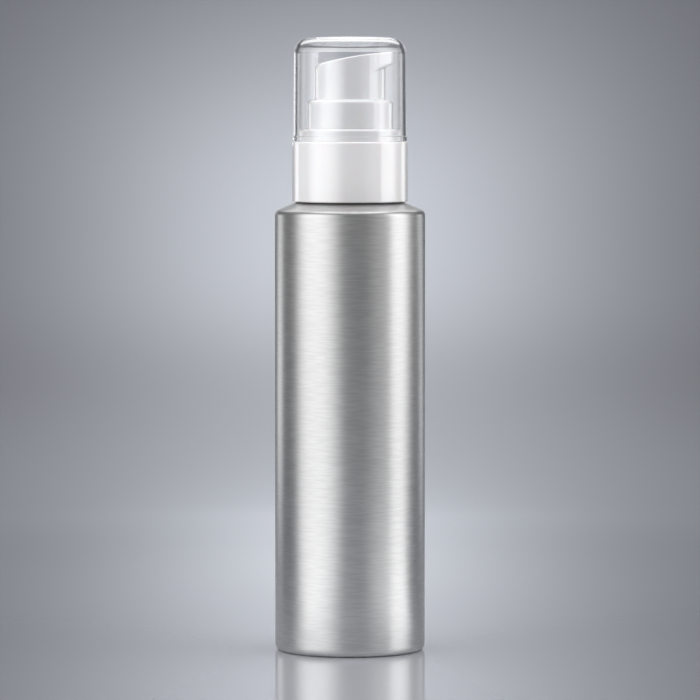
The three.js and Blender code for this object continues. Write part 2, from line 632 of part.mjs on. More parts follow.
// The press head: a skirt and a narrower head with a nozzle, with a hollow underside, a socket for the
// stem, and a channel that runs out through the nozzle.
function actuator() {
  const stockTop = TOP_HEIGHT + TOOL_OVERRUN;
  const body = turned(rounded([
    [0, 0],
    [SKIRT_RADIUS, 0, EDGE_ROUND],
    [SKIRT_RADIUS, SKIRT_HEIGHT, SKIRT_EDGE],
    [HEAD_RADIUS, SKIRT_HEIGHT, EDGE_ROUND],
    [HEAD_RADIUS, stockTop],
    [0, stockTop],
  ]), SHELL_SIDES);
  const hollow = turned(rounded([
    [0, -TOOL_OVERRUN],
    [SKIRT_RADIUS - HEAD_WALL, -TOOL_OVERRUN],
    [SKIRT_RADIUS - HEAD_WALL, SKIRT_HEIGHT - HEAD_WALL, EDGE_ROUND],
    [HEAD_RADIUS - HEAD_WALL, SKIRT_HEIGHT - HEAD_WALL],
    [HEAD_RADIUS - HEAD_WALL, HEAD_CEILING, EDGE_ROUND],
    [SOCKET_RADIUS, HEAD_CEILING],
    [SOCKET_RADIUS, SOCKET_BOTTOM],
    [0, SOCKET_BOTTOM],
  ]), SHELL_SIDES);
  const socketTop = STEM_TOP - SKIRT_BOTTOM + FACE_GAP;
  const socket = turned(rounded([
    [0, 0],
    [STEM_RADIUS + FACE_GAP, 0],
    [STEM_RADIUS + FACE_GAP, socketTop],
    [STEM_BORE, socketTop],
    [STEM_BORE, CHANNEL_INNER_HEIGHT],
    [0, CHANNEL_INNER_HEIGHT],
  ]), PUMP_SIDES);
  const channelFrom = new THREE.Vector3(0, 0, CHANNEL_INNER_HEIGHT);
  const channelTo = new THREE.Vector3(NOZZLE_REACH + TOOL_OVERRUN, 0, CHANNEL_OUTER_HEIGHT);
  const channel = roundBar(channelFrom, channelTo, CHANNEL_RADIUS);
  return cut(join(body, nozzleBlock(stockTop)), aboveHead(stockTop), hollow, socket, channel);
}

const pressHead = piece("actuator", actuator(), WHITE_PLASTIC);
pressHead.position.z = SKIRT_BOTTOM;

const plunger = new THREE.Group().add(
  pressHead,
  piece("stem", stem(), MILKY_PLASTIC),
  piece("piston", piston(), MILKY_PLASTIC),
  piece("piston_rod", pistonRod(), WHITE_PLASTIC),
  piece("return_spring", returnSpring(), STEEL),
);

const pump = new THREE.Group().add(
  piece("neck_gasket", neckGasket(), FOAM),
  piece("pump_housing", pumpHousing(), MILKY_PLASTIC),
  piece("chaplet", chaplet(), WHITE_PLASTIC),
  piece("dip_tube", dipTube(), MILKY_PLASTIC),
  piece("inlet_ball", inletBall(), STEEL),
  plunger,
  piece("screw_closure", screwClosure(), WHITE_PLASTIC),
  piece("collar_sleeve", collarSleeve(), WHITE_PLASTIC),
  piece("overcap", overcap(), CLEAR_PLASTIC),
);
pump.position.z = RIM_HEIGHT;

const pumpBottle = new THREE.Group().add(piece("bottle", bottle(), ALUMINIUM), pump);

export default pumpBottle;
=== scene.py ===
import bpy
import numpy as np
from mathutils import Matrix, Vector


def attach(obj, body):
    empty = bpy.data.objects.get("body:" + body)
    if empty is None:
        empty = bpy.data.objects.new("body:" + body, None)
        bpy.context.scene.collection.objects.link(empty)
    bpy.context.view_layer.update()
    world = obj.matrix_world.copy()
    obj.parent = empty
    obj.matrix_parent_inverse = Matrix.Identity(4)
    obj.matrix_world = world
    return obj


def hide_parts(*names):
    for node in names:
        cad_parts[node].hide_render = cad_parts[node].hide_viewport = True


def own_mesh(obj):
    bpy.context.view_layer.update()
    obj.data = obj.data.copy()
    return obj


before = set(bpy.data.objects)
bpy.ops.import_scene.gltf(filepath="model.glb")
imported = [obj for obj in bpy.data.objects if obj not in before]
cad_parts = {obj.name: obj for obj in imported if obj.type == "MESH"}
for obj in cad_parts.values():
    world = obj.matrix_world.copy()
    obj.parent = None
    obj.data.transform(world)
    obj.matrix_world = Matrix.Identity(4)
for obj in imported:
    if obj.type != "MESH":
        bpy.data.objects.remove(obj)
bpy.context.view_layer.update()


# Bottle: a slug of aluminium pressed out into a thin cup, necked in to a cone at the shoulder, with the
# thread rolled into the neck and the rim curled outwards. The outside is brushed round the axis.
def outline_of(corners, steps=8, margin=0.2):
    """Radii and heights along an outline with rounded corners, given as (radius, height, rounding).

    A rounding r turns a corner into an arc about the point r / sin(half its angle) along its bisector.
    Each long straight run gets a row near both ends, which keeps its shading flat up to the corner.
    An outline that doesn't start on the axis closes on its first point.
    """
    corners = np.array(corners, float)
    here, rounding = corners[:, :2], corners[:, 2:]
    back = np.roll(here, 1, axis=0) - here
    back /= np.linalg.norm(back, axis=1, keepdims=True)
    ahead = np.roll(here, -1, axis=0) - here
    ahead /= np.linalg.norm(ahead, axis=1, keepdims=True)
    half = np.arccos(np.clip((back * ahead).sum(axis=1, keepdims=True), -1, 1)) / 2
    bisector = (back + ahead) / np.maximum(2 * np.cos(half), 1e-9)
    centre = here + bisector * rounding / np.sin(half)
    spoke = here + back * rounding / np.tan(half) - centre
    side = spoke[:, ::-1] * (-1, 1)
    way = np.sign(ahead[:, :1] * back[:, 1:] - ahead[:, 1:] * back[:, :1])
    angle = way * (np.pi - 2 * half) * np.linspace(0, 1, steps + 1)
    arcs = (
        centre[:, None]
        + spoke[:, None] * np.cos(angle)[..., None]
        + side[:, None] * np.sin(angle)[..., None]
    )
    points = arcs.reshape(-1, 2)
    points = points[np.append(True, np.linalg.norm(np.diff(points, axis=0), axis=1) > 1e-6)]
    if points[0, 0] > 0:
        points = np.vstack([points, points[:1]])
    run = np.linalg.norm(np.diff(points, axis=0), axis=1)
    along = np.append(0, np.cumsum(run))
    long = run > 3 * margin
    rows = np.sort(np.concatenate([along, along[:-1][long] + margin, along[1:][long] - margin]))
    return np.column_stack([np.interp(rows, along, points[:, k]) for k in (0, 1)])


def rings_at(radius, height, angle):
    """Rings of points round the axis: radius r and height z at angle a give (r cos a, r sin a, z)."""
    return np.stack(np.broadcast_arrays(radius * np.cos(angle), radius * np.sin(angle), height), axis=-1)


def spun(outline, sides):
    """Rings of an outline, one for each of its rows, with equal steps round the axis."""
    return rings_at(outline[:, :1], outline[:, 1:], np.linspace(0, 2 * np.pi, sides, endpoint=False))


crease_angle = np.radians(32)


def skin(name, rings):
    """A closed piece whose skin runs from ring to ring of an array (rings, points, 3) in millimetres.

    A ring of equal points is one pole, and a last ring that repeats the first closes the skin on itself.
    Six times the volume is the sum of the faces' triple products, and its sign says which way is out.
    Edges sharper than the crease angle stay sharp in the shading.
    """
    count, columns = rings.shape[:2]
    index = np.arange(count * columns).reshape(count, columns)
    if np.allclose(rings[0], rings[-1]):
        index[-1] = index[0]
    pole = np.ptp(rings, axis=1).max(axis=1) < 1e-6
    index[pole] = index[pole, :1]
    beside = np.roll(index, -1, axis=1)
    faces = np.stack([index[:-1], beside[:-1], beside[1:], index[1:]], axis=-1).reshape(-1, 4)
    used, faces = np.unique(faces, return_inverse=True)
    faces = faces.reshape(-1, 4)
    points = rings.reshape(-1, 3)[used] / 1000
    a, b, c, d = points[faces.T]
    if (a * (np.cross(b, c) + np.cross(c, d))).sum() < 0:
        faces = faces[:, ::-1]
    from_pole = faces[:, 0] == faces[:, 1]
    to_pole = faces[:, 2] == faces[:, 3]
    whole = ~from_pole & ~to_pole
    corners = faces[whole].tolist() + faces[from_pole, 1:].tolist() + faces[to_pole, :3].tolist()
    mesh = bpy.data.meshes.new(name)
    mesh.from_pydata(points.tolist(), [], corners)
    mesh.shade_smooth()
    mesh.set_sharp_from_angle(angle=crease_angle)
    piece = bpy.data.objects.new(name, mesh)
    bpy.context.scene.collection.objects.link(piece)
    return piece


def fitted(piece, node, body, finish):
    """Puts a piece in the place of a solid of the frame, on its body and finish."""
    piece.data.materials.clear()
    piece.data.materials.append(finish)
    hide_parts(node)
    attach(piece, body)


def add_node(tree, kind, values, **settings):
    """A node with its settings, whose inputs are given as plain values or as the sockets that feed them."""
    node = tree.nodes.new(kind)
    for name, value in settings.items():
        setattr(node, name, value)
    for socket, value in values.items():
        if isinstance(value, bpy.types.NodeSocket):
            tree.links.new(value, node.inputs[socket])
        else:
            node.inputs[socket].default_value = value
    return node


def new_effect(name, given, made):
    """A shader node group with named inputs and outputs, and its two end nodes."""
    tree = bpy.data.node_groups.new(name, "ShaderNodeTree")
    for socket, kind in given.items():
        tree.interface.new_socket(socket, in_out="INPUT", socket_type=kind)
    for socket, kind in made.items():
        tree.interface.new_socket(socket, in_out="OUTPUT", socket_type=kind)
    return tree, tree.nodes.new("NodeGroupInput").outputs, tree.nodes.new("NodeGroupOutput").inputs


def new_finish(name, effect, values, bump, **shader):
    """A material with colour, roughness and bump height from an effect, and plain values for the rest.

    The bump's distance is in metres.
    """
    finish = bpy.data.materials.new(name)
    finish.use_nodes = True
    tree = finish.node_tree
    surface = tree.nodes["Principled BSDF"]
    pattern = add_node(tree, "ShaderNodeGroup", {}, node_tree=effect)
    for socket, value in values.items():
        pattern.inputs[socket].default_value = value
    relief = add_node(tree, "ShaderNodeBump", {"Height": pattern.outputs["Height"], "Distance": bump})
    tree.links.new(pattern.outputs["Colour"], surface.inputs["Base Color"])
    tree.links.new(pattern.outputs["Roughness"], surface.inputs["Roughness"])
    tree.links.new(relief.outputs["Normal"], surface.inputs["Normal"])
    for socket, value in shader.items():
        surface.inputs[socket.replace("_", " ")].default_value = value
    return finish


# Lines of noise drawn out round the axis: short bright scratches over broader bands of dull and bright.
brushing, given, made = new_effect(
    "brushing_round_the_axis",
    {
        "Bright": "NodeSocketColor",
        "Dull": "NodeSocketColor",
        "Lines per metre": "NodeSocketFloat",
        "Breaks per metre": "NodeSocketFloat",
        "Roughness": "NodeSocketFloat",
        "Unevenness": "NodeSocketFloat",
    },
    {"Colour": "NodeSocketColor", "Roughness": "NodeSocketFloat", "Height": "NodeSocketFloat"},
)
place = add_node(brushing, "ShaderNodeTexCoord", {}).outputs["Object"]
stretch = add_node(
    brushing,
    "ShaderNodeCombineXYZ",
    {"X": given["Breaks per metre"], "Y": given["Breaks per metre"], "Z": given["Lines per metre"]},
).outputs[0]
drawn = add_node(brushing, "ShaderNodeVectorMath", {0: place, 1: stretch}, operation="MULTIPLY").outputs[0]
lines_per_band = 6.25
broad = add_node(
    brushing, "ShaderNodeVectorMath", {0: drawn, "Scale": 1 / lines_per_band}, operation="SCALE"
).outputs[0]
scratches = add_node(
    brushing, "ShaderNodeTexNoise", {"Vector": drawn, "Scale": 1.0, "Detail": 2.0, "Roughness": 0.5}
).outputs[0]
shade_and_glow = add_node(
    brushing, "ShaderNodeTexNoise", {"Vector": broad, "Scale": 1.0, "Detail": 2.0, "Roughness": 0.5}
).outputs[0]
share_of_bands = 0.1
mixed = add_node(brushing, "ShaderNodeMix", {0: share_of_bands, 2: scratches, 3: shade_and_glow}).outputs[0]
dullest, brightest, smoothest, roughest = 0.42, 0.58, 0.4, 0.6
shade = add_node(brushing, "ShaderNodeMapRange", {0: mixed, 1: dullest, 2: brightest}).outputs[0]
tone = add_node(
    brushing, "ShaderNodeMix", {0: shade, 6: given["Dull"], 7: given["Bright"]}, data_type="RGBA"
)
swing = add_node(
    brushing, "ShaderNodeMapRange", {0: mixed, 1: smoothest, 2: roughest, 3: -1.0, 4: 1.0}
).outputs[0]
uneven = add_node(
    brushing,
    "ShaderNodeMath",
    {0: swing, 1: given["Unevenness"], 2: given["Roughness"]},
    operation="MULTIPLY_ADD",
).outputs[0]
brushing.links.new(tone.outputs[2], made["Colour"])
brushing.links.new(uneven, made["Roughness"])
brushing.links.new(mixed, made["Height"])

brushed_aluminium = new_finish(
    "brushed_aluminium",
    brushing,
    {
        "Bright": (0.77, 0.768, 0.765, 1),
        "Dull": (0.7, 0.698, 0.695, 1),
        "Lines per metre": 2700,
        "Breaks per metre": 220,
        "Roughness": 0.33,
        "Unevenness": 0.02,
    },
    bump=0.000006,
    Metallic=1.0,
    Anisotropic=0.45,
    Anisotropic_Rotation=0.25,
)

thread_pitch, thread_turns, thread_height, thread_half_width, thread_runout = 3.175, 1.25, 1.0, 1.1, 0.2
thread_rows = 72


def threaded(rings, start, way, within):
    """Rings whose wall inside a radius is moved out (way 1) or in (way -1) by a helical ridge.

    At angle a the ridge's middle is one pitch a turn above its start; its section is half a cosine wave
    over its half width, and it sinks into the wall along a smooth step at both ends.
    """
    radius = np.hypot(rings[..., 0], rings[..., 1])
    part_turn = np.mod(np.arctan2(rings[..., 1], rings[..., 0]), 2 * np.pi) / (2 * np.pi)
    along = part_turn + np.arange(np.ceil(thread_turns)).reshape(-1, 1, 1)
    fade = np.clip(np.minimum(along, thread_turns - along) / thread_runout, 0, 1)
    fade = fade * fade * (3 - 2 * fade)
    off = np.clip(np.abs(rings[..., 2] - start - along * thread_pitch) / thread_half_width, 0, 1)
    ridge = (fade * thread_height * (1 + np.cos(np.pi * off)) / 2).sum(axis=0)
    grow = np.where(radius < within, 1 + way * ridge / np.maximum(radius, 1), 1)
    return rings * np.stack([grow, grow, np.ones_like(grow)], axis=-1)


def arc(centre, across, up, start, end, steps):
    """Corners without rounding along an ellipse: centre + (across cos a, up sin a), a in degrees."""
    angle = np.radians(np.linspace(start, end, steps + 1))
    return np.column_stack([
        centre[0] + across * np.cos(angle),
        centre[1] + up * np.sin(angle),
        np.zeros(steps + 1),
    ])


def wall(radius, low, high, rows):
    """Corners without rounding at equal steps up or down a straight wall."""
    return np.column_stack([np.full(rows, radius), np.linspace(low, high, rows), np.zeros(rows)])


body_radius, sheet, floor_sheet = 20, 0.6, 1
neck_radius, neck_fillet, rim_height, rim_bead = 10.7, 0.4, 129.5, 0.7
thread_start = rim_height - 6.4
shoulder_height, shoulder_corner, shoulder_slope = 117.2, 1.6, np.tan(np.radians(22))
foot_ring, dish_rise = 16.5, 3
foot_across, foot_up = 1.3, 2
inside_radius, neck_bore = body_radius - sheet, neck_radius - sheet
inside_drop = sheet * np.hypot(1, shoulder_slope)
neck_foot = shoulder_height + (body_radius - neck_radius) * shoulder_slope
dish_radius = (foot_ring**2 + dish_rise**2) / (2 * dish_rise)
dish_centre = (0, dish_rise - dish_radius)
dish_edge = np.degrees(np.arccos(foot_ring / dish_radius))
bead_centre = ((neck_radius + neck_bore) / 2, rim_height - rim_bead)
bead_start = -np.degrees(np.arccos((neck_radius - bead_centre[0]) / rim_bead))
neck_top = bead_centre[1] + rim_bead * np.sin(np.radians(bead_start))
bottle_outline = outline_of(
    np.vstack([
        (0, dish_rise, 0),
        arc(dish_centre, dish_radius, dish_radius, 90, dish_edge, 24)[1:],
        arc((body_radius - foot_across, foot_up), foot_across, foot_up, -90, 0, 12),
        (body_radius, shoulder_height, shoulder_corner),
        (neck_radius, neck_foot, neck_fillet),
        wall(neck_radius, neck_foot + 2 * neck_fillet, neck_top, thread_rows),
        arc(bead_centre, rim_bead, rim_bead, bead_start, 180 - bead_start, 20)[1:-1],
        wall(neck_bore, neck_top, neck_foot + 2 * neck_fillet, thread_rows),
        (neck_bore, neck_foot + sheet * shoulder_slope - inside_drop, 0),
        (inside_radius, shoulder_height + sheet * shoulder_slope - inside_drop, shoulder_corner - sheet),
        (inside_radius, floor_sheet, foot_across),
        arc(dish_centre, dish_radius + floor_sheet, dish_radius + floor_sheet, dish_edge, 90, 24)[:-1],
        (0, dish_rise + floor_sheet, 0),
    ])
)
bottle = skin(
    "bottle_shell",
    threaded(spun(bottle_outline, 160), thread_start, 1, neck_radius + rim_bead),
)
fitted(bottle, "bottle", "bottle", brushed_aluminium)


# Neck gasket: a flat ring of closed-cell foam, stamped from sheet and clamped between the bottle's rim and
# the pump's flange. Its surface effect, which all plastics here share, is fine grain in the relief and soft
# blotches in the colour and the gloss.
moulding, given, made = new_effect(
    "moulded_skin",
    {
        "Light": "NodeSocketColor",
        "Shaded": "NodeSocketColor",
        "Grains per metre": "NodeSocketFloat",
        "Roughness": "NodeSocketFloat",
        "Unevenness": "NodeSocketFloat",
    },
    {"Colour": "NodeSocketColor", "Roughness": "NodeSocketFloat", "Height": "NodeSocketFloat"},
)
place = add_node(moulding, "ShaderNodeTexCoord", {}).outputs["Object"]
grain = add_node(
    moulding,
    "ShaderNodeTexNoise",
    {"Vector": place, "Scale": given["Grains per metre"], "Detail": 2.0, "Roughness": 0.5},
).outputs[0]
blotches_per_metre = 90.0
flow = add_node(
    moulding,
    "ShaderNodeTexNoise",
    {"Vector": place, "Scale": blotches_per_metre, "Detail": 3.0, "Roughness": 0.55},
).outputs[0]
lightest, darkest = 0.3, 0.7
blotch = add_node(moulding, "ShaderNodeMapRange", {0: flow, 1: lightest, 2: darkest}).outputs[0]
tone = add_node(
    moulding, "ShaderNodeMix", {0: blotch, 6: given["Light"], 7: given["Shaded"]}, data_type="RGBA"
)
swing = add_node(
    moulding, "ShaderNodeMapRange", {0: flow, 1: lightest, 2: darkest, 3: -1.0, 4: 1.0}
).outputs[0]
uneven = add_node(
    moulding,
    "ShaderNodeMath",
    {0: swing, 1: given["Unevenness"], 2: given["Roughness"]},
    operation="MULTIPLY_ADD",
).outputs[0]
moulding.links.new(tone.outputs[2], made["Colour"])
moulding.links.new(uneven, made["Roughness"])
moulding.links.new(grain, made["Height"])

gasket_foam = new_finish(
    "gasket_foam",
    moulding,
    {
        "Light": (0.84, 0.845, 0.83, 1),
        "Shaded": (0.78, 0.785, 0.77, 1),
        "Grains per metre": 4000,
        "Roughness": 0.8,
        "Unevenness": 0.08,
    },
    bump=0.0001,
)
gap = 0.1  # left between pieces that rest on each other
gasket_bore, flange_radius = 8.6, 11.3
gasket_low, gasket_top = rim_height + gap, rim_height + 0.8
gasket = skin(
    "neck_gasket_ring",
    spun(
        outline_of([
            (gasket_bore, gasket_low, 0.1),
            (flange_radius, gasket_low, 0.1),
            (flange_radius, gasket_top, 0.1),
            (gasket_bore, gasket_top, 0.1),
        ]),
        96,
    ),
)
fitted(gasket, "neck_gasket", "pump_engine", gasket_foam)


# Pump housing: the cylinder of the pump, moulded in milky polypropylene, with a flange that hangs on the
# neck and a ring that holds the chaplet. Inside are a ledge for the spring, ribs that keep the ball in its
# chamber, and a socket for the dip tube.
def pierced(piece, start, end, radius):
    """Cuts a round hole between two points: circle points at the ends and a pole at each end's middle."""
    start, end = np.array(start, float), np.array(end, float)
    along = (end - start) / np.linalg.norm(end - start)
    across = np.cross(along, (0, 1, 0) if abs(along[1]) < 0.9 else (1, 0, 0))
    across /= np.linalg.norm(across)
    angle = np.linspace(0, 2 * np.pi, 32, endpoint=False)[:, None]
    circle = radius * (across * np.cos(angle) + np.cross(along, across) * np.sin(angle))
    drill = skin("drill", np.stack([start + 0 * circle, start + circle, end + circle, end + 0 * circle]))
    hole = piece.modifiers.new("hole", "BOOLEAN")
    hole.operation, hole.object, hole.solver = "DIFFERENCE", drill, "EXACT"
    cut = bpy.data.meshes.new_from_object(piece.evaluated_get(bpy.context.evaluated_depsgraph_get()))
    cut.name = piece.data.name
    piece.modifiers.remove(hole)
    piece.data = cut
    bpy.data.objects.remove(drill)
    cut.shade_smooth()
    cut.set_sharp_from_angle(angle=crease_angle)


milky_plastic = new_finish(
    "milky_plastic",
    moulding,
    {
        "Light": (0.88, 0.895, 0.9, 1),
        "Shaded": (0.82, 0.84, 0.85, 1),
        "Grains per metre": 2500,
        "Roughness": 0.38,
        "Unevenness": 0.06,
    },
    bump=0.00002,
    Subsurface_Weight=0.25,
    Subsurface_Scale=0.002,
)
flange_low, flange_top = gasket_top + gap, rim_height + 1.9
ring_top, spring_ledge = flange_top + 2.5, rim_height - 19.2
cylinder_bore, ball_chamber, ball_throat, ball_seat = 4, 2.2, 1.1, rim_height - 23.5
tube_shoulder, housing_foot = rim_height - 25.2, rim_height - 32.5
socket_bore, socket_radius, cylinder_radius = 2.45, 3.5, 5
ring_bore, ring_radius = 6.3, 7.4
rib_height, rib_ramp, rib_half_turn, rib_spacing = 0.6, 0.1, 0.25, 2 * np.pi / 3
vent_height, vent_radius = rim_height - 1.6, 0.5
housing_rings = spun(
    outline_of([
        (cylinder_bore, flange_top, 0.3),
        (cylinder_bore, spring_ledge, 0),
        (ball_chamber, spring_ledge, 0),
        (ball_chamber, spring_ledge - rib_height, 0),
        (ball_chamber, spring_ledge - rib_height - rib_ramp, 0),
        (ball_chamber, ball_seat + ball_chamber - ball_throat, 0),
        (ball_throat, ball_seat, 0.1),
        (ball_throat, tube_shoulder, 0),
        (socket_bore, tube_shoulder, 0),
        (socket_bore, housing_foot, 0.1),
        (socket_radius, housing_foot, 0.3),
        (socket_radius, ball_seat, 0.5),
        (cylinder_radius, spring_ledge - 1, 0.5),
        (cylinder_radius, flange_low, 0.3),
        (flange_radius, flange_low, 0.1),
        (flange_radius, flange_top, 0.1),
        (ring_radius, flange_top, 0.2),
        (ring_radius, ring_top, 0.3),
        (ring_bore, ring_top, 0.3),
        (ring_bore, flange_top, 0.2),
    ]),
    120,
)
housing_turn = np.arctan2(housing_rings[..., 1], housing_rings[..., 0])
off_rib = np.abs(np.mod(housing_turn + rib_spacing / 2, rib_spacing) - rib_spacing / 2)
in_chamber = np.abs(np.hypot(housing_rings[..., 0], housing_rings[..., 1]) - ball_chamber) < 0.01
above_rib_foot = housing_rings[..., 2] > spring_ledge - rib_height - rib_ramp / 2
at_ribs = in_chamber & above_rib_foot & (off_rib < rib_half_turn)
housing_rings[..., :2] *= np.where(at_ribs, ball_throat / ball_chamber, 1)[..., None]
housing = skin("pump_cylinder", housing_rings)
pierced(
    housing, (0, cylinder_bore - 1, vent_height), (0, cylinder_radius + 1, vent_height), vent_radius
)
fitted(housing, "pump_housing", "pump_engine", milky_plastic)


# Chaplet: the white polypropylene cap that is snapped into the housing's ring and closes the cylinder. Its
# tube guides the stem, and the piston stops under the tube's foot.
white_plastic = new_finish(
    "white_plastic",
    moulding,
    {
        "Light": (0.935, 0.923, 0.934, 1),
        "Shaded": (0.912, 0.898, 0.91, 1),
        "Grains per metre": 1400,
        "Roughness": 0.17,
        "Unevenness": 0.03,
    },
    bump=0.000004,
    Specular_IOR_Level=1.0,
    Coat_Weight=1.0,
    Coat_Roughness=0.05,
    Coat_IOR=2.0,
    Subsurface_Weight=0.1,
    Subsurface_Scale=0.001,
)
guide_bore, guide_radius, plug_radius, plug_wall = 2.7, 3.55, 6.15, 1
guide_low, plug_low = rim_height - 0.2, flange_top + gap
plate_low, plate_top = ring_top + gap, ring_top + 0.9
chaplet = skin(
    "chaplet_cap",
    spun(
        outline_of([
            (guide_bore, guide_low, 0.1),
            (guide_radius, guide_low, 0.15),
            (guide_radius, plate_low, 0.2),
            (plug_radius - plug_wall, plate_low, 0.2),
            (plug_radius - plug_wall, plug_low, 0.15),
            (plug_radius, plug_low, 0.15),
            (plug_radius, plate_low, 0),
            (ring_radius, plate_low, 0.1),
            (ring_radius, plate_top, 0.3),
            (guide_bore, plate_top, 0.15),
        ]),
        96,
    ),
)
fitted(chaplet, "chaplet", "pump_engine", white_plastic)


# Inlet ball: a ground and polished stainless ball that lies loose on the housing's conical seat. It lets
# liquid into the cylinder and not back out.
polished_steel = new_finish(
    "polished_steel",
    brushing,
    {
        "Bright": (0.78, 0.79, 0.81, 1),
        "Dull": (0.72, 0.73, 0.75, 1),
        "Lines per metre": 6000,
        "Breaks per metre": 2500,
        "Roughness": 0.1,
        "Unevenness": 0.03,
    },
    bump=0.000002,
    Metallic=1.0,
)
ball_radius = 1.6
ball_middle = ball_seat + ball_radius * np.sqrt(2) - ball_throat + gap
half_circle = arc((0, ball_middle), ball_radius, ball_radius, -90, 90, 32)
half_circle[[0, -1], 0] = 0
ball = skin("inlet_check_ball", spun(half_circle[:, :2], 64))
fitted(ball, "inlet_ball", "inlet_ball", polished_steel)


# Dip tube: a soft polyethylene tube pushed into the housing's socket. It sags to a low corner of the
# bottle, and its foot is cut aslant so that the floor can't close it.
tube_radius, tube_bore, foot_slant = 2.3, 1.6, np.tan(np.radians(36))
tube_top, tube_end = tube_shoulder - gap, rim_height - 124
tube_length, tube_rows = 110, 60
foot_offset, knee_offset = 8.5, 1.3


def sagging_line(share):
    """Point and tangent of the tube's line at a share t of its way from top to foot.

    The line is a cubic Bezier curve, four knots weighted by (1 - t)³, 3 t (1 - t)², 3 t² (1 - t) and t³.
    The tangent is the slope of that, made one long.
    """
    drop = tube_end - tube_top
    knots = np.array([
        (0, 0, tube_top),
        (0, 0, tube_top + 0.55 * drop),
        (knee_offset, 0, tube_top + 0.75 * drop),
        (foot_offset, 0, tube_end),
    ])
    t = share[..., None]
    point = (
        (1 - t) ** 3 * knots[0]
        + 3 * t * (1 - t) ** 2 * knots[1]
        + 3 * t**2 * (1 - t) * knots[2]
        + t**3 * knots[3]
    )
    tangent = (1 - t) ** 2 * (knots[1] - knots[0]) + 2 * t * (1 - t) * (knots[2] - knots[1])
    tangent = tangent + t**2 * (knots[3] - knots[2])
    return point, tangent / np.linalg.norm(tangent, axis=-1, keepdims=True)


# The skin runs down the outside, up the bore and over the top edge, and ends higher on one side.
around = np.linspace(0, 2 * np.pi, 40, endpoint=False)
down = np.linspace(0, 1, tube_rows)
share = np.concatenate([down, down[::-1], down[:1]])[:, None]
tube_wall = np.repeat([tube_radius, tube_bore, tube_radius], [tube_rows, tube_rows, 1])[:, None]
shortened = (tube_radius + tube_wall * np.cos(around)) * foot_slant / tube_length
line, tangent = sagging_line(share * (1 - shortened))
across = np.cross((0, 1, 0), tangent)
tube_rings = line - tube_wall[..., None] * (
    across * np.cos(around)[:, None] - np.array([0, 1, 0]) * np.sin(around)[:, None]
)
tube = skin("dip_tube_hose", tube_rings)
fitted(tube, "dip_tube", "pump_engine", milky_plastic)


# Piston rod: the white moulded plug pressed into the foot of the stem. Its flange closes the piston from
# below and takes the spring, its spigot centres the spring, and two flats let the liquid pass along its
# shank.
piston_top, piston_height = rim_height - 0.4, 4.6
valve_seat = piston_top - piston_height - 0.2
rod_low, spigot_low, shank_top = valve_seat - 1.4, valve_seat - 4.6, valve_seat + 7
spigot_radius, rod_flange, waist_radius, shank_radius = 1.8, 3, 1.9, 1.2
cone_height, flat_start, flat_distance = 0.6, 0.1, 0.7
rod_rings = spun(
    outline_of([
        (0, spigot_low, 0),
        (spigot_radius, spigot_low, 0.6),
        (spigot_radius, rod_low, 0.15),
        (rod_flange, rod_low, 0.15),
        (rod_flange, valve_seat - cone_height, 0.1),
        (waist_radius, valve_seat, 0.1),
        (shank_radius, valve_seat, 0),
        (shank_radius, valve_seat + flat_start, 0),
        (shank_radius, shank_top, 0.3),
        (0, shank_top, 0),
    ]),
    72,
)
on_shank = rod_rings[..., 2] > valve_seat + flat_start / 2
flattened = np.clip(rod_rings[..., 0], -flat_distance, flat_distance)
rod_rings[..., 0] = np.where(on_shank, flattened, rod_rings[..., 0])
rod = skin("piston_rod_plug", rod_rings)
fitted(rod, "piston_rod", "plunger", white_plastic)


# Return spring: stainless wire wound into eight coils, closed at both ends, between the housing's ledge and
# the flange of the piston rod. It shortens as the head is pressed.
spring_steel = new_finish(
    "spring_steel",
    brushing,
    {
        "Bright": (0.66, 0.67, 0.69, 1),
        "Dull": (0.54, 0.55, 0.57, 1),
        "Lines per metre": 5000,
        "Breaks per metre": 400,
        "Roughness": 0.24,
        "Unevenness": 0.06,
    },
    bump=0.000006,
    Metallic=1.0,
)
# The wire's middle climbs round a circle, more slowly in its closed ends, and the change is smoothed.
coil_radius, wire_radius, coils = 2.6, 0.3, 8
spring_foot, spring_head = spring_ledge + gap, rod_low - gap
closed_share, closed_climb, softening = 0.11, 0.055, 12
turn_share = np.linspace(0, 1, 361)
climb = np.interp(
    turn_share, [0, closed_share, 1 - closed_share, 1], [0, closed_climb, 1 - closed_climb, 1]
)
window = np.hanning(2 * softening + 3)[1:-1]
climb = np.convolve(np.pad(climb, softening, mode="edge"), window / window.sum(), mode="valid")
sweep = turn_share * coils * 2 * np.pi
height = spring_foot + wire_radius + climb * (spring_head - spring_foot - 2 * wire_radius)
middle = np.column_stack([coil_radius * np.cos(sweep), coil_radius * np.sin(sweep), height])
outward = np.column_stack([np.cos(sweep), np.sin(sweep), np.zeros_like(sweep)])
ahead = np.gradient(middle, axis=0)
upward = np.cross(outward, ahead / np.linalg.norm(ahead, axis=1, keepdims=True))
around = np.linspace(0, 2 * np.pi, 14, endpoint=False)[:, None]
wire = wire_radius * (outward[:, None] * np.cos(around) + upward[:, None] * np.sin(around))
ends = middle[[0, -1], None] + 0 * wire[:2]
spring = skin("return_spring_coil", np.concatenate([ends[:1], middle[:, None] + wire, ends[1:]]))
fitted(spring, "return_spring", "pump_engine", spring_steel)
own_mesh(spring)


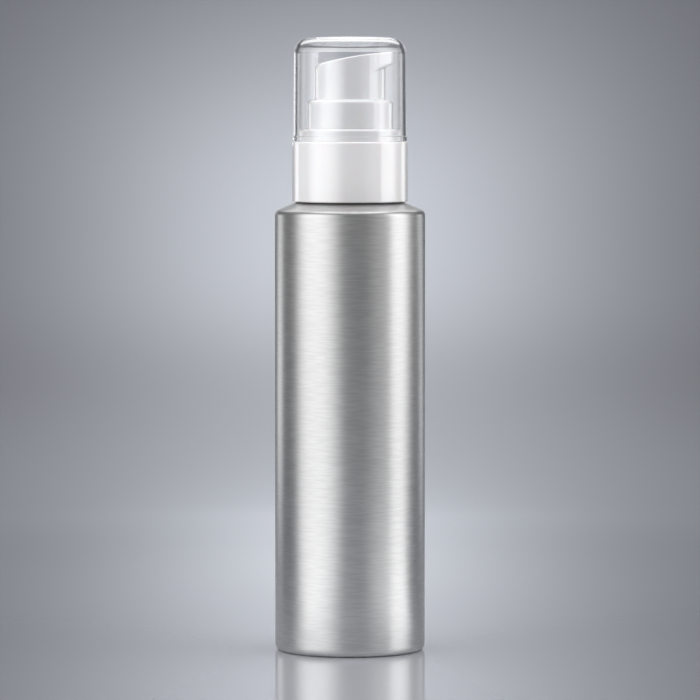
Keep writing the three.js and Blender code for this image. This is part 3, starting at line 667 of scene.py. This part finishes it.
# Piston: a seal of soft milky polyethylene that slides in the cylinder, moulded as a sleeve round the stem
# with a flared lip at each end. It lifts off the rod's flange to let the liquid out.
piston_foot, lip, sleeve_bore = piston_top - piston_height, 3.85, 2.05
groove_radius, sleeve_radius, lip_edge, sleeve_edge = 2.85, 3.2, 0.35, 0.5
groove_depth, flare_height, lip_drop = 1.2, 1.7, 0.2
piston = skin(
    "piston_seal",
    spun(
        outline_of([
            (sleeve_bore, piston_foot, 0.1),
            (sleeve_bore + sleeve_edge, piston_foot, 0.1),
            (groove_radius, piston_foot + groove_depth, 0.1),
            (lip - lip_edge, piston_foot, 0.1),
            (lip, piston_foot + lip_drop, 0.1),
            (sleeve_radius, piston_foot + flare_height, 0.3),
            (sleeve_radius, piston_top - flare_height, 0.3),
            (lip, piston_top - lip_drop, 0.1),
            (lip - lip_edge, piston_top, 0.1),
            (groove_radius, piston_top - groove_depth, 0.1),
            (sleeve_bore + sleeve_edge, piston_top, 0.1),
            (sleeve_bore, piston_top, 0.1),
        ]),
        80,
    ),
)
fitted(piston, "piston", "piston", milky_plastic)


# Stem: a tube moulded in milky polypropylene, which the press head is pushed onto. The piston rides on its
# waist, and two ports above the rod's flange let the liquid in when the piston slides back.
stem_foot, stem_shoulder, stem_top = valve_seat + gap, piston_top + 0.9, rim_height + 20.6
stem_bore, stem_radius = 1.3, 2.5
port_height, port_reach, port_radius = stem_foot + 1.6, 2.4, 0.55
stem = skin(
    "stem_tube",
    spun(
        outline_of([
            (stem_bore, stem_foot, 0.1),
            (waist_radius, stem_foot, 0.1),
            (waist_radius, stem_shoulder, 0.1),
            (stem_radius, stem_shoulder, 0.15),
            (stem_radius, stem_top, 0.3),
            (stem_bore, stem_top, 0.1),
        ]),
        72,
    ),
)
pierced(stem, (-port_reach, 0, port_height), (port_reach, 0, port_height), port_radius)
fitted(stem, "stem", "plunger", milky_plastic)


# Screw closure: the inner cap of white polypropylene, moulded with the thread inside it. Screwed down, its
# web clamps the pump's flange onto the gasket.
closure_foot, closure_top = rim_height - 8.9, rim_height + 4.8
web_low, web_top = flange_top + gap, rim_height + 3
closure_bore, closure_radius, web_bore, closure_rows = 12.1, 13.9, 8.2, 56
thread_top = closure_foot + thread_turns * thread_pitch + 2 * thread_half_width
closure_outline = outline_of(
    np.vstack([
        wall(closure_bore, thread_top, closure_foot, closure_rows),
        (closure_radius, closure_foot, 0.3),
        (closure_radius, closure_top, 0.3),
        (closure_bore, closure_top, 0.2),
        (closure_bore, web_top, 0.2),
        (web_bore, web_top, 0.2),
        (web_bore, web_low, 0.2),
        (closure_bore, web_low, 0.2),
    ])
)
closure = skin(
    "screw_closure_cap",
    threaded(spun(closure_outline, 144), thread_start - thread_pitch / 2, -1, closure_bore + 0.1),
)
fitted(closure, "screw_closure", "closure", white_plastic)


# Collar sleeve: the glossy white outside of the closure, moulded and pressed over it. Its boss centres the
# overcap, the skirt of the press head slides down inside the boss, and its foot is cut parallel to the
# shoulder.
collar_low, collar_top, boss_top = rim_height - 10, rim_height + 6.1, rim_height + 9.5
collar_radius, collar_wall, boss_radius, boss_bore = 15.35, 1.2, 13.65, 11.8
collar_bore, collar_ceiling = collar_radius - collar_wall, collar_top - collar_wall
collar = skin(
    "collar_sleeve_shell",
    spun(
        outline_of([
            (boss_bore, collar_ceiling, 0.1),
            (boss_bore, boss_top, 0.3),
            (boss_radius, boss_top, 0.7),
            (boss_radius, collar_top, 0.2),
            (collar_radius, collar_top, 0.35),
            (collar_radius, collar_low, 0.35),
            (collar_bore, collar_low + collar_wall * shoulder_slope, 0.2),
            (collar_bore, collar_ceiling, 0.1),
        ]),
        160,
    ),
)
fitted(collar, "collar_sleeve", "closure", white_plastic)


# Press head: one white moulding that the thumb pushes, pressed onto the stem: a skirt, a narrower head with
# a top that climbs to the front, and a short beak whose channel lets the lotion out.
skirt_low, skirt_radius, skirt_bore, skirt_height = rim_height + 8.3, 11.45, 10.25, 8.9
head_radius, head_bore, wall_start = 9.45, 8.25, skirt_low + 12
beak_reach, beak_low, beak_root, beak_slope = 11.6, skirt_low + 18.4, np.radians(50), 0.42
top_height, top_arc, arc_ahead = skirt_low + 21.7, 108, 7.4
socket_foot, socket_top, stem_socket, socket_outside = skirt_low + 2.7, skirt_low + 12.4, 2.6, 3.7
channel_start, channel_end, channel_radius = skirt_low + 18.3, skirt_low + 20.05, 0.95
skirt_ceiling, head_ceiling = skirt_low + 7.7, skirt_low + 15.6
under_blend, tip_blend, root_blend, side_fall, least_cosine = 0.5, 0.8, 0.2, 4, 0.2


def softer_of(first, second, blend):
    """The larger of two lengths, with their meeting rounded: (sum + root of (difference² + blend²)) / 2."""
    return (first + second + np.sqrt((first - second) ** 2 + blend**2)) / 2


def head_outline(angle, height):
    """Radius of the head at an angle and a height: its round body or its beak, whichever reaches further.

    The beak's sides leave the round at a tangent, at the root angle r, so they lie at head radius /
    cos(angle - r), and its tip at reach / cos(angle). Its underside climbs outwards with the beak's
    slope, so that below its tip the reach shrinks with the depth. Behind the root the sides fall away.
    """
    off = np.abs(np.mod(angle + np.pi, 2 * np.pi) - np.pi)
    past_root = np.maximum(off - beak_root, 0)
    side = head_radius / np.cos(np.minimum(off - beak_root, 0)) - side_fall * past_root
    reach = beak_reach - softer_of(0, (beak_low - height) / beak_slope, under_blend)
    tip = reach / np.maximum(np.cos(off), least_cosine)
    return softer_of(head_radius, -softer_of(-side, -tip, tip_blend), root_blend)


def head_top(forward):
    """Height of the top at a distance forward of the axis, on an arc that is level ahead of the tip.

    It is the top height less (d² - a²) / (2 * arc radius), with d the distance to the level point and a
    the tip's distance to it.
    """
    return top_height - ((beak_reach + arc_ahead - forward) ** 2 - arc_ahead**2) / (2 * top_arc)


beak_side = 56
near_beak = np.linspace(-beak_side, beak_side, 150, endpoint=False)
round_back = np.linspace(beak_side, 360 - beak_side, 90, endpoint=False)
turn = np.radians(np.concatenate([near_beak, round_back]))
front_edge, added_at_back, settled_by = 0.45, 0.9, 0.1
edge = front_edge + added_at_back * np.clip(-np.cos(turn), 0, 1) ** 2
rim_radius = head_outline(turn, top_height)
wall_top = head_top(rim_radius * np.cos(turn)) - edge
inner_outline = outline_of([
    (0, channel_start, 0),
    (stem_bore, channel_start, 0),
    (stem_bore, socket_top, 0.1),
    (stem_socket, socket_top, 0.1),
    (stem_socket, socket_foot, 0.2),
    (socket_outside, socket_foot, 0.2),
    (socket_outside, head_ceiling, 0.3),
    (head_bore, head_ceiling, 0.4),
    (head_bore, skirt_ceiling, 0.3),
    (skirt_bore, skirt_ceiling, 0.4),
    (skirt_bore, skirt_low, 0.3),
    (skirt_radius, skirt_low, 0.3),
    (skirt_radius, skirt_low + skirt_height, 1),
    (head_radius, skirt_low + skirt_height, 0.35),
    (head_radius, wall_start, 0),
])
# The skin runs from the channel under the head and out to the skirt, up the wall into the beak, over the
# rounded edge, which is wider at the back, and in to the middle of the top.
lower = rings_at(inner_outline[:, :1], inner_outline[:, 1:], turn)
climb = np.linspace(0, 1, 64)[1:, None]
height = wall_start + climb * (wall_top - wall_start)
settle = np.clip(climb / settled_by, 0, 1)
radius = head_radius + settle * (head_outline(turn, height) - head_radius)
upper = rings_at(radius, height, turn)
bend = np.radians(np.linspace(0, 90, 10))[1:, None]
radius = rim_radius - edge * (1 - np.cos(bend))
brow = rings_at(radius, head_top(radius * np.cos(turn)) - edge * (1 - np.sin(bend)), turn)
radius = (rim_radius - edge) * np.linspace(1, 0, 16)[1:, None]
crown = rings_at(radius, head_top(radius * np.cos(turn)), turn)
actuator = skin("press_head_moulding", np.concatenate([lower, upper, brow, crown]))
pierced(actuator, (0, 0, channel_start - 0.2), (beak_reach + 1, 0, channel_end), channel_radius)
fitted(actuator, "actuator", "press_head", white_plastic)


# Overcap: a clear styrene cup, injection moulded through a gate in the middle of its top. It stands on the
# collar's step with a thicker rim, and is pulled off by hand.
clear_plastic = new_finish(
    "clear_plastic",
    moulding,
    {
        "Light": (0.985, 0.988, 0.992, 1),
        "Shaded": (0.965, 0.97, 0.978, 1),
        "Grains per metre": 300,
        "Roughness": 0.02,
        "Unevenness": 0.012,
    },
    bump=0.000004,
    Transmission_Weight=1.0,
    IOR=1.5,
)
# Soft light passes straight through, and so do rays that have been thrown to and fro inside the wall, which
# would otherwise end in black.
tree = clear_plastic.node_tree
most_reflections, cap_tint = 3.5, (0.95, 0.955, 0.96, 1)
path = add_node(tree, "ShaderNodeLightPath", {}).outputs
soft_ray = add_node(
    tree, "ShaderNodeMath", {0: path["Is Shadow Ray"], 1: path["Is Diffuse Ray"]}, operation="MAXIMUM"
).outputs[0]
spent_ray = add_node(
    tree, "ShaderNodeMath", {0: path["Glossy Depth"], 1: most_reflections}, operation="GREATER_THAN"
).outputs[0]
soft_ray = add_node(tree, "ShaderNodeMath", {0: soft_ray, 1: spent_ray}, operation="MAXIMUM").outputs[0]
passed = add_node(tree, "ShaderNodeBsdfTransparent", {"Color": cap_tint}).outputs[0]
both = add_node(
    tree, "ShaderNodeMixShader", {0: soft_ray, 1: tree.nodes["Principled BSDF"].outputs[0], 2: passed}
).outputs[0]
tree.links.new(both, tree.nodes["Material Output"].inputs["Surface"])
cap_low, cap_top, cap_wall, cap_corner, cap_dome = collar_top + gap, rim_height + 34, 1, 4.1, 0.5
cap_radius, cap_rim, cap_bore, cap_draft = 15.05, 15.3, 14.05, 0.15
gate_radius, gate_depth, gate_slope = 2.2, 0.15, 0.25
rim_step, dome_edge = 1.3, 9.5
dome_radius = np.linspace(gate_radius, dome_edge, 9)[1:]
dome_height = cap_top - cap_dome * (dome_radius / cap_radius) ** 2
dome = np.column_stack([dome_radius, dome_height, 0 * dome_radius])
under_dome = dome[::-1] - (0, cap_wall, 0)
cap = skin(
    "overcap_cup",
    spun(
        outline_of(
            np.vstack([
                (0, cap_top - gate_depth, 0),
                (gate_radius - gate_slope, cap_top - gate_depth, 0.05),
                (gate_radius, cap_top, 0.05),
                dome,
                (cap_radius - cap_draft, cap_top - cap_dome, cap_corner),
                (cap_radius, cap_low + rim_step + 0.05, 0.1),
                (cap_rim, cap_low + rim_step, 0.1),
                (cap_rim, cap_low, 0.15),
                (cap_bore, cap_low, 0.15),
                (cap_bore - cap_draft, cap_top - cap_dome - cap_wall, cap_corner - cap_wall),
                under_dome,
                (0, cap_top - cap_wall, 0),
            ]),
            steps=14,
        ),
        160,
    ),
)
fitted(cap, "overcap", "overcap", clear_plastic)


# Stage: a blue-grey board that lies under the bottle and curves up behind it, glossy round the foot and
# matt elsewhere. Its colour holds painted light: a painted glow behind the pump and along the middle of the
# floor that dims to the sides, painted shade across the bend, and a faint painted band of light on the
# floor before the bend. Seen from behind it is clear, and a studio floor in the same paint lies round it,
# which only the camera sees.
def swept_board():
    """Board points (x, y, z) in metres, across its width and along a floor that bends up into a wall.

    Along the bend the slope climbs from 0 to 90 degrees on a smooth step, and the points are the running
    sums of its cosine and sine.
    """
    half_width, length, bend_start, bend_length, in_front = 0.6, 1.24, 0.82, 0.18, 0.45
    across = np.linspace(-half_width, half_width, 61)
    run = np.linspace(0, length, 249)
    share = np.clip(((run[1:] + run[:-1]) / 2 - bend_start) / bend_length, 0, 1)
    slope = np.pi / 2 * share**2 * (3 - 2 * share)
    depth = np.append(0, np.cumsum(np.diff(run) * np.cos(slope))) - in_front
    rise = np.append(0, np.cumsum(np.diff(run) * np.sin(slope)))
    return np.stack(np.broadcast_arrays(across, depth[:, None], rise[:, None]), axis=-1)


def staged(name, points, finish):
    """A sheet of the stage through an array of points (rows, columns, 3) in metres."""
    rows, columns = points.shape[:2]
    index = np.arange(rows * columns).reshape(rows, columns)
    faces = np.stack([index[:-1, :-1], index[:-1, 1:], index[1:, 1:], index[1:, :-1]], axis=-1)
    mesh = bpy.data.meshes.new(name)
    mesh.from_pydata(points.reshape(-1, 3).tolist(), [], faces.reshape(-1, 4).tolist())
    mesh.shade_smooth()
    mesh.materials.append(finish)
    sheet_object = bpy.data.objects.new(name, mesh)
    bpy.context.scene.collection.objects.link(sheet_object)
    return sheet_object


board_with_painted_light = bpy.data.materials.new("board_with_painted_light")
board_with_painted_light.use_nodes = True
tree = board_with_painted_light.node_tree
surface = tree.nodes["Principled BSDF"]
place = add_node(tree, "ShaderNodeTexCoord", {}).outputs["Object"]


def soft_patch(centre, radii):
    """A soft patch, 1 / (1 + s)², where s is the squared distance from the centre in radii. It places the
    painted light and shade on the board, and its gloss.
    """
    off = add_node(tree, "ShaderNodeVectorMath", {0: place, 1: centre}, operation="SUBTRACT").outputs[0]
    off = add_node(tree, "ShaderNodeVectorMath", {0: off, 1: radii}, operation="DIVIDE").outputs[0]
    square = add_node(
        tree, "ShaderNodeVectorMath", {0: off, 1: off}, operation="DOT_PRODUCT"
    ).outputs["Value"]
    wider = add_node(tree, "ShaderNodeMath", {0: square, 1: 1.0}, operation="ADD").outputs[0]
    return add_node(tree, "ShaderNodeMath", {0: wider, 1: -2.0}, operation="POWER").outputs[0]


endless = 9  # radius of a patch that doesn't end in a direction
# Painted light: the pale colour is a painted glow, and the dim one is the board where that glow has faded
# at the sides.
painted_dim_edge, painted_glow_colour = (0.081, 0.0867, 0.099, 1), (0.685, 0.708, 0.759, 1)
floor_glow_strength, bend_shade, far_glow_lift = 0.545, -0.24, 0.1
floor_glow_whole, floor_glow_gone, gloss_whole, gloss_gone = 0.36, 0.5, 0.0, 0.26
parts = add_node(tree, "ShaderNodeSeparateXYZ", {0: place}).outputs
along = add_node(tree, "ShaderNodeMath", {0: parts["Y"], 1: parts["Z"]}, operation="ADD").outputs[0]
floor_glow = add_node(
    tree,
    "ShaderNodeMapRange",
    {0: along, 1: floor_glow_gone, 2: floor_glow_whole, 4: floor_glow_strength},
    interpolation_type="SMOOTHSTEP",
).outputs[0]
# Painted glow along the middle of the floor and on the wall behind the pump, in place of the lamps' pool of
# light.
floor_glow_patch = soft_patch((-0.0035, 0.17, 0), (0.093, 0.6, endless))
wall_glow_patch = soft_patch((-0.0035, 0.48, 0.097), (0.143, 0.115, 0.113))
glow_share = add_node(
    tree, "ShaderNodeMath", {0: floor_glow_patch, 1: floor_glow, 2: wall_glow_patch}, operation="MULTIPLY_ADD"
).outputs[0]
painted_light = add_node(
    tree, "ShaderNodeMix", {0: glow_share, 6: painted_dim_edge, 7: painted_glow_colour}, data_type="RGBA"
).outputs[2]
# Painted shade: the bend between the floor and the wall is painted darker.
bend_shade_mask = soft_patch((0, 0.473, 0.043), (endless, 0.07, 0.042))
# Painted light: a faint band across the floor before the bend is painted lighter.
far_glow_band = soft_patch((0, 0.36, 0), (endless, 0.12, endless))
shade_and_glow = add_node(
    tree, "ShaderNodeMath", {0: bend_shade_mask, 1: bend_shade, 2: 1.0}, operation="MULTIPLY_ADD"
).outputs[0]
shade_and_glow = add_node(
    tree, "ShaderNodeMath", {0: far_glow_band, 1: far_glow_lift, 2: shade_and_glow}, operation="MULTIPLY_ADD"
).outputs[0]
painted_light = add_node(tree, "ShaderNodeVectorMath", {0: painted_light, "Scale": shade_and_glow}, operation="SCALE").outputs[0]
tree.links.new(painted_light, surface.inputs["Base Color"])
gloss = add_node(
    tree,
    "ShaderNodeMapRange",
    {0: along, 1: gloss_gone, 2: gloss_whole, 4: 1.0},
    interpolation_type="SMOOTHSTEP",
).outputs[0]
round_foot = soft_patch((0, 0, 0), (0.3, 0.5, endless))
gloss = add_node(tree, "ShaderNodeMath", {0: gloss, 1: round_foot}, operation="MULTIPLY").outputs[0]
tree.links.new(gloss, surface.inputs["Coat Weight"])
surface.inputs["Specular IOR Level"].default_value = 0
surface.inputs["Coat IOR"].default_value = 2.2
surface.inputs["Coat Roughness"].default_value = 0.1
behind = add_node(tree, "ShaderNodeNewGeometry", {}).outputs["Backfacing"]
clear = add_node(tree, "ShaderNodeBsdfTransparent", {}).outputs[0]
one_sided = add_node(
    tree, "ShaderNodeMixShader", {0: behind, 1: surface.outputs[0], 2: clear}
).outputs[0]
tree.links.new(one_sided, tree.nodes["Material Output"].inputs["Surface"])
staged("stage_board", swept_board(), board_with_painted_light)
floor_reach, floor_height = np.array([-4, 4]), -0.002
studio_floor = staged(
    "studio_floor",
    np.stack(np.broadcast_arrays(floor_reach, floor_reach[:, None], floor_height), axis=-1),
    board_with_painted_light,
)
studio_floor.visible_diffuse = studio_floor.visible_glossy = studio_floor.visible_shadow = False


# Light: a wide soft box on each side with a fill on the right, two above them that stay out of reflections,
# one overhead, one high up behind and a bright card on the floor at each side, in a dim grey room. Narrow
# strips behind the bottle draw the bright lines on its rims, collar and cap, and light nothing else.
mirrors = bpy.data.collections.new("glossy_pieces")
for piece in (bottle, collar, actuator, cap):
    mirrors.objects.link(piece)


def softbox(
    name,
    azimuth,
    elevation,
    distance,
    width,
    height,
    radiance,
    fade=(0, 0),
    aim=(0, 0, 0.09),
    mirrored=True,
    through=True,
    shining=True,
):
    """A flat lamp that faces a point, azimuth degrees to the right of the camera's side.

    A flat lamp of area A that glows with a radiance L gives pi * A * L watts. It fades out along a smooth
    step over two shares of its width, at its left and its right end as the bottle sees it.
    A lamp that isn't mirrored stays out of reflections and of views through clear plastic. One without
    through is dark to rays that crossed clear plastic and were never reflected: their walls are more than
    none, and after a reflection they would have to be more than any ray crosses. One that isn't shining
    only shows on the glossy pieces.
    """
    turn, tilt = np.radians((azimuth, elevation))
    way = Vector((np.sin(turn) * np.cos(tilt), -np.cos(turn) * np.cos(tilt), np.sin(tilt)))
    lamp = bpy.data.lights.new(name, "AREA")
    lamp.shape, lamp.size, lamp.size_y = "RECTANGLE", width, height
    lamp.energy = np.pi * width * height * radiance
    lamp.use_nodes = True
    tree = lamp.node_tree
    place = add_node(tree, "ShaderNodeNewGeometry", {}).outputs["Parametric"]
    across = add_node(tree, "ShaderNodeSeparateXYZ", {0: place}).outputs["X"]
    shortest_fade = 0.001
    ends = [
        add_node(
            tree,
            "ShaderNodeMapRange",
            {0: across, 1: end, 2: end + inward * max(share, shortest_fade)},
            interpolation_type="SMOOTHSTEP",
        ).outputs[0]
        for end, inward, share in ((0, 1, fade[0]), (1, -1, fade[1]))
    ]
    glow = add_node(tree, "ShaderNodeMath", {0: ends[0], 1: ends[1]}, operation="MULTIPLY").outputs[0]
    if not through:
        depth = add_node(tree, "ShaderNodeLightPath", {}).outputs
        most_walls = 100.0
        turned = add_node(
            tree, "ShaderNodeMath", {0: depth["Glossy Depth"], 1: most_walls}, operation="MULTIPLY"
        ).outputs[0]
        straight = add_node(
            tree, "ShaderNodeMath", {0: depth["Transmission Depth"], 1: turned}, operation="GREATER_THAN"
        ).outputs[0]
        seen = add_node(tree, "ShaderNodeMath", {0: 1.0, 1: straight}, operation="SUBTRACT").outputs[0]
        glow = add_node(tree, "ShaderNodeMath", {0: glow, 1: seen}, operation="MULTIPLY").outputs[0]
    tree.links.new(glow, tree.nodes["Emission"].inputs["Strength"])
    box = bpy.data.objects.new(name, lamp)
    box.location = Vector(aim) + distance * way
    box.rotation_euler = way.to_track_quat("Z", "Y").to_euler()
    box.visible_glossy = box.visible_transmission = mirrored
    box.visible_diffuse = shining
    if not shining:
        box.light_linking.receiver_collection = mirrors
    bpy.context.scene.collection.objects.link(box)


cap_level, collar_level = (0, 0, 0.149), (0, 0, 0.13)
softbox("left_softbox", -53, 6, 1.1, 2.2, 1.6, 1.28, fade=(0.385, 0.474))
softbox("right_softbox", 88, 6, 1.1, 0.98, 1.6, 1.37, fade=(0.02, 0.5))
softbox("right_fill", 42, 6, 1.1, 0.89, 1.6, 0.33, fade=(0.7, 0.02))
softbox("upper_left_softbox", -97, 46, 1.2, 2.0, 1.5, 1.72, mirrored=False)
softbox("upper_right_softbox", 97, 46, 1.2, 2.0, 1.5, 1.72, mirrored=False)
softbox("overhead_softbox", 0, 90, 0.95, 1.0, 0.8, 0.9)
softbox("back_softbox", 180, 55, 1.0, 1.2, 1.2, 0.8)
softbox("top_strip", 180, 3, 0.43, 0.3, 0.06, 0.45, aim=(0, 0, 0.18), shining=False)
softbox("left_rim_strip", -135, -15, 0.45, 0.16, 0.25, 0.9, through=False, shining=False)
softbox("right_rim_strip", 139, -15, 0.45, 0.12, 0.25, 0.66, through=False, shining=False)
softbox("left_cap_strip", -171, 0, 0.42, 0.074, 0.04, 0.3, aim=cap_level, shining=False)
softbox("left_edge_strip", -160.5, 0, 0.42, 0.066, 0.04, 1.2, aim=cap_level, through=False, shining=False)
softbox("right_cap_strip", 171, 0, 0.42, 0.074, 0.04, 0.3, aim=cap_level, shining=False)
softbox("left_collar_strip", -132, 0, 0.42, 0.12, 0.07, 0.8, aim=collar_level, through=False, shining=False)
softbox("right_collar_strip", 132, 0, 0.42, 0.12, 0.07, 0.8, aim=collar_level, through=False, shining=False)
softbox("left_low_card", 0, -90, 0.5, 0.4, 0.31, 0.7, aim=(-0.24, -0.185, 0.503))
softbox("right_low_card", 0, -90, 0.5, 0.44, 0.13, 0.65, aim=(0.26, -0.065, 0.503))
room = bpy.data.worlds.new("dim_room")
room.use_nodes = True
room.node_tree.nodes["Background"].inputs["Color"].default_value = (0.19, 0.19, 0.191, 1)
bpy.context.scene.world = room
bpy.context.scene.view_settings.view_transform = "Standard"


# Camera: a long lens 1.2 m in front of the bottle at the height of its press head, tilted a little down, so
# that the foot is seen from above and the head level.
image_side, pixel_size, focal_pixels, horizon_row, aim_height = 700, 0.26667, 4430, 86, 0.0801
tilt = np.arctan((image_side / 2 - horizon_row) / focal_pixels)
distance = focal_pixels * pixel_size / 1000
lens = bpy.data.cameras.new("long_lens")
lens.lens = focal_pixels * lens.sensor_width / image_side
lens.clip_end = 20
camera = bpy.data.objects.new("camera", lens)
camera.location = (0, -distance * np.cos(tilt), aim_height + distance * np.sin(tilt))
camera.rotation_euler = (np.pi / 2 - tilt, 0, 0)
bpy.context.scene.collection.objects.link(camera)
bpy.context.scene.camera = camera
